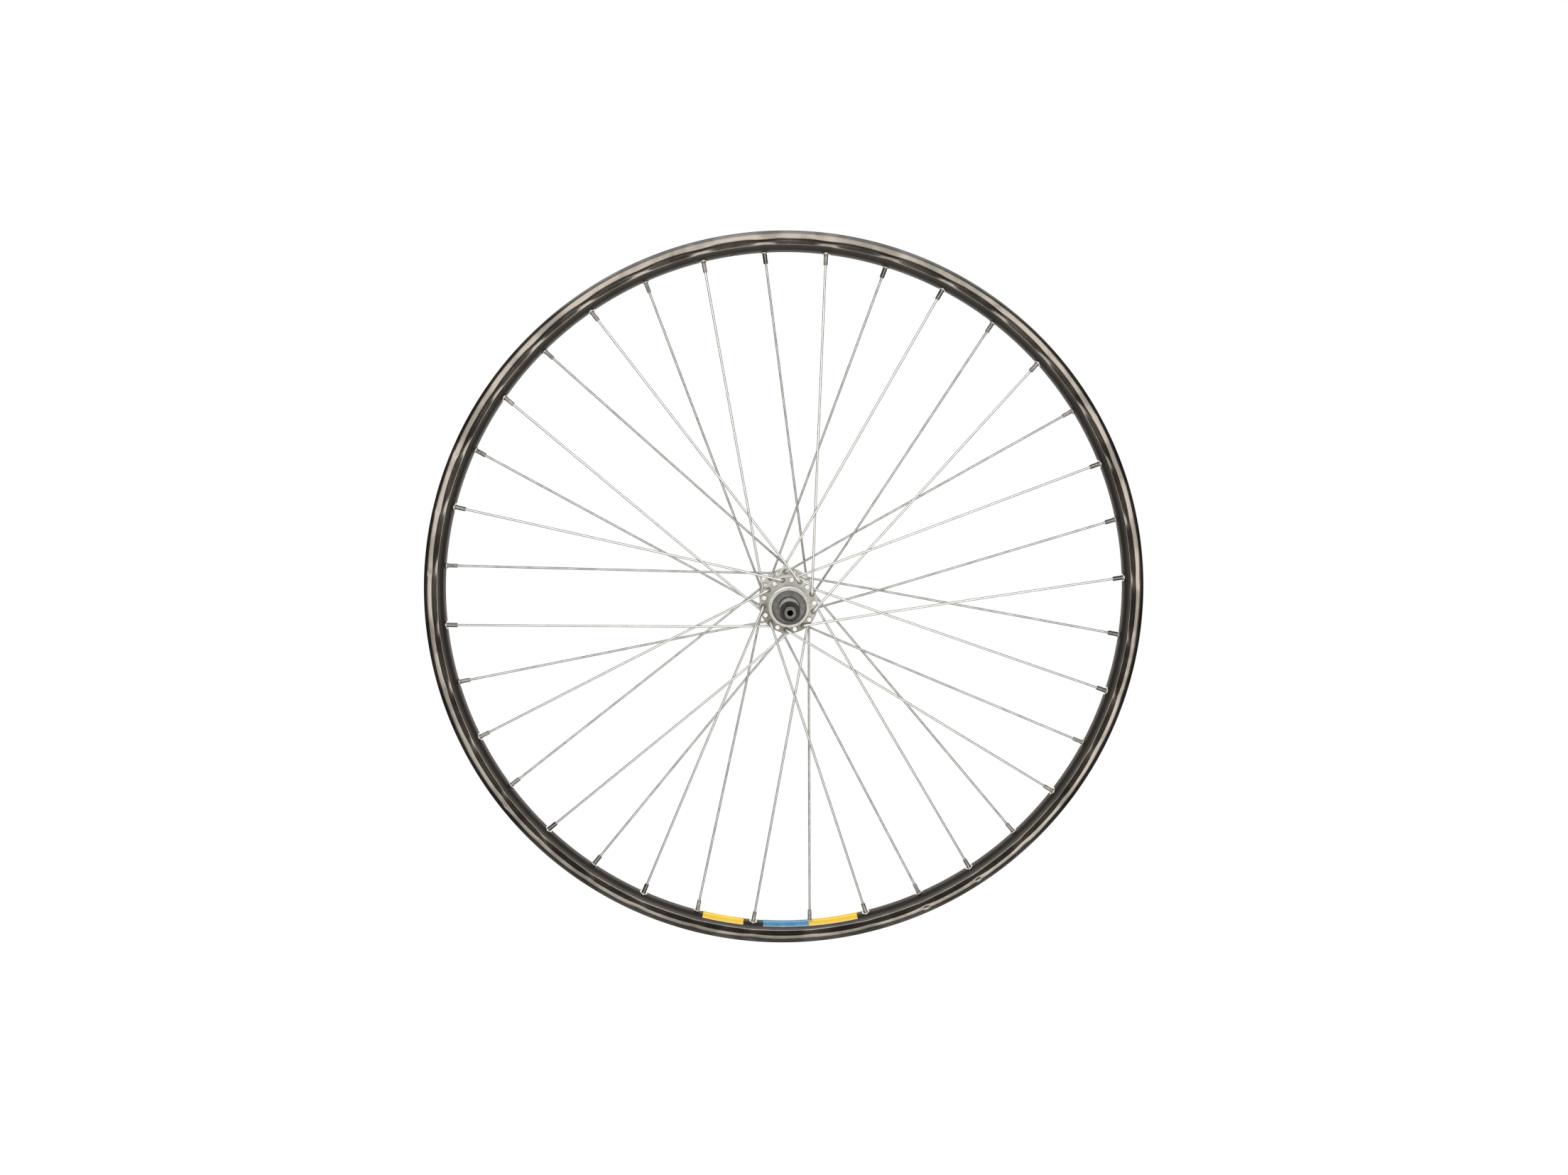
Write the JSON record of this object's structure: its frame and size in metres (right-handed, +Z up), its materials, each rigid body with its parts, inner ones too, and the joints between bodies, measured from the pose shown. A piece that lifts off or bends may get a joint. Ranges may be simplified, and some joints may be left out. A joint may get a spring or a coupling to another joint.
{
  "type": "bicycle wheel",
  "caption": "Rear bicycle wheel: hollow rim for a glued tyre, wire spokes laced tangentially to a small-flange hub with a freewheel thread, on a hollow axle that it spins on.",
  "frame": {"origin": "middle of the axle, on the rim's middle plane, half-way between the locknut faces", "axes": "+Y along the axle to the left side, the freewheel thread towards -Y; +Z up and +X across in the rim's plane"},
  "size_m": [0.6329, 0.137, 0.633],
  "materials": {
    "anodised_rim": "dark hard-anodised extrusion, satin, scuffed on the walls",
    "plain_aluminium": "plain extruded aluminium",
    "eyelet_steel": "bright plated steel",
    "nipple_brass": "nickel-plated brass, dulled to grey",
    "spoke_stainless": "drawn stainless wire",
    "hub_alloy": "polished forged aluminium, lightly oxidised",
    "bearing_steel": "ground steel",
    "cap_steel": "pressed grey steel sheet",
    "spacer_steel": "bright turned steel",
    "locknut_steel": "dark serrated steel",
    "axle_steel": "grey threaded steel",
    "label_foil": "plain yellow foil label",
    "label_foil_two_colour": "plain foil label, one half blue and one half yellow"
  },
  "bodies": {
    "axle_set": {"axle": "axle_steel", "distance_sleeve": "axle_steel", "bearing_inner_drive": "bearing_steel", "axle_spacer_drive": "spacer_steel", "lock_washer_drive": "spacer_steel", "locknut_drive": "locknut_steel", "bearing_inner_left": "bearing_steel", "axle_spacer_left": "spacer_steel", "lock_washer_left": "spacer_steel", "locknut_left": "locknut_steel"},
    "wheel": {"bearing_outer_drive": "bearing_steel", "bearing_outer_left": "bearing_steel", "dust_cap_drive": "cap_steel", "dust_cap_left": "cap_steel", "eyelets": "eyelet_steel", "hub_shell": "hub_alloy", "label_double": "label_foil_two_colour", "label_single": "label_foil", "nipples_drive_side": "nipple_brass", "nipples_left_side": "nipple_brass", "rim": "anodised_rim", "rim_joint_sleeve": "plain_aluminium", "spoke_01": "spoke_stainless", "spoke_02": "spoke_stainless", "spoke_03": "spoke_stainless", "spoke_04": "spoke_stainless", "spoke_05": "spoke_stainless", "spoke_06": "spoke_stainless", "spoke_07": "spoke_stainless", "spoke_08": "spoke_stainless", "spoke_09": "spoke_stainless", "spoke_10": "spoke_stainless", "spoke_11": "spoke_stainless", "spoke_12": "spoke_stainless", "spoke_13": "spoke_stainless", "spoke_14": "spoke_stainless", "spoke_15": "spoke_stainless", "spoke_16": "spoke_stainless", "spoke_17": "spoke_stainless", "spoke_18": "spoke_stainless", "spoke_19": "spoke_stainless", "spoke_20": "spoke_stainless", "spoke_21": "spoke_stainless", "spoke_22": "spoke_stainless", "spoke_23": "spoke_stainless", "spoke_24": "spoke_stainless", "spoke_25": "spoke_stainless", "spoke_26": "spoke_stainless", "spoke_27": "spoke_stainless", "spoke_28": "spoke_stainless", "spoke_29": "spoke_stainless", "spoke_30": "spoke_stainless", "spoke_31": "spoke_stainless", "spoke_32": "spoke_stainless", "spoke_33": "spoke_stainless", "spoke_34": "spoke_stainless", "spoke_35": "spoke_stainless", "spoke_36": "spoke_stainless"}
  },
  "joints": [
    {"name": "wheel_spin", "type": "hinge", "parent": "axle_set", "child": "wheel", "pos_m": [0, 0, 0], "axis": [0, 1, 0], "continuous": true}
  ]
}
